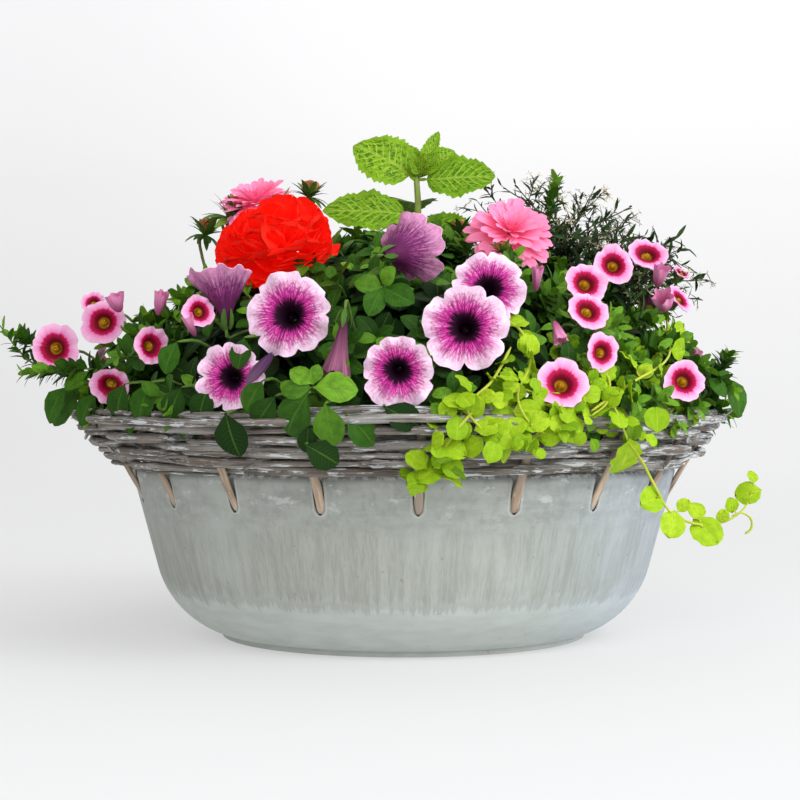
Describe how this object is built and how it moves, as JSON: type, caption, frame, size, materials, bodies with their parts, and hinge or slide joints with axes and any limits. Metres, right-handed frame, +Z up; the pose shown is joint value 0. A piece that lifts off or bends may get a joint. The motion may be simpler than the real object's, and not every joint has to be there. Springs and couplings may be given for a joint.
{
  "type": "planter bowl",
  "caption": "Round clay planter bowl with a woven willow collar on its lip, drain hole in the floor, filled with compost and planted with trailing summer flowers.",
  "frame": {"origin": "middle of the drain hole at the underside of the foot, on the surface that the bowl stands on", "axes": "+Z up along the bowl's axis, -Y towards the front of the planting, +X to the right seen from the front"},
  "size_m": [0.5068, 0.4679, 0.349],
  "materials": {
    "clay": "matte",
    "willow_peeled": "satin",
    "willow_weathered": "matte",
    "compost": "matte",
    "gravel": "matte",
    "broken_pot": "matte",
    "petunia_leaf": "matte",
    "petunia_petal": "matte",
    "petunia_petal_dark": "matte",
    "calibrachoa_leaf": "matte",
    "calibrachoa_petal": "matte",
    "begonia_petal": "matte",
    "dahlia_leaf": "matte",
    "dahlia_petal": "matte",
    "dahlia_bud": "matte",
    "coleus_leaf": "matte",
    "coleus_stem": "matte",
    "jenny_leaf": "matte",
    "euphorbia_leaf": "matte"
  },
  "bodies": {
    "root": {"bowl": "clay", "compost": "compost", "drainage_gravel": "gravel", "drain_crocks": "broken_pot", "stake_01": "willow_peeled", "stake_02": "willow_peeled", "stake_03": "willow_peeled", "stake_04": "willow_peeled", "stake_05": "willow_peeled", "stake_06": "willow_peeled", "stake_07": "willow_peeled", "stake_08": "willow_peeled", "stake_09": "willow_peeled", "stake_10": "willow_peeled", "stake_11": "willow_peeled", "stake_12": "willow_peeled", "stake_13": "willow_peeled", "stake_14": "willow_peeled", "stake_15": "willow_peeled", "stake_16": "willow_peeled", "stake_17": "willow_peeled", "stake_18": "willow_peeled", "stake_19": "willow_peeled", "weave_rod_1": "willow_weathered", "weave_rod_2": "willow_weathered", "weave_rod_3": "willow_weathered", "weave_rod_4": "willow_weathered", "weave_rod_5": "willow_weathered", "weave_rod_6": "willow_weathered", "border_rod_outer": "willow_weathered", "border_rod_inner": "willow_weathered", "border_rod_top": "willow_weathered", "petunia_front_left": "petunia_leaf", "petunia_front_right": "petunia_leaf", "petunia_back": "petunia_leaf", "petunia_blooms_front": "petunia_petal", "petunia_blooms_side": "petunia_petal", "petunia_blooms_back": "petunia_petal", "petunia_bloom_wilted": "petunia_petal_dark", "petunia_bud": "petunia_petal_dark", "calibrachoa_left": "calibrachoa_leaf", "calibrachoa_right": "calibrachoa_leaf", "calibrachoa_shoot": "calibrachoa_leaf", "calibrachoa_blooms_left": "calibrachoa_petal", "calibrachoa_blooms_right": "calibrachoa_petal", "calibrachoa_blooms_back": "calibrachoa_petal", "begonia_bloom": "begonia_petal", "dahlia_foliage": "dahlia_leaf", "dahlia_blooms": "dahlia_petal", "dahlia_buds": "dahlia_bud", "coleus_heart": "coleus_leaf", "coleus_leaves": "coleus_leaf", "coleus_stem": "coleus_stem", "creeping_jenny": "jenny_leaf", "jenny_trailers": "jenny_leaf", "euphorbia_cloud": "euphorbia_leaf", "euphorbia_twigs": "euphorbia_leaf"}
  },
  "joints": []
}
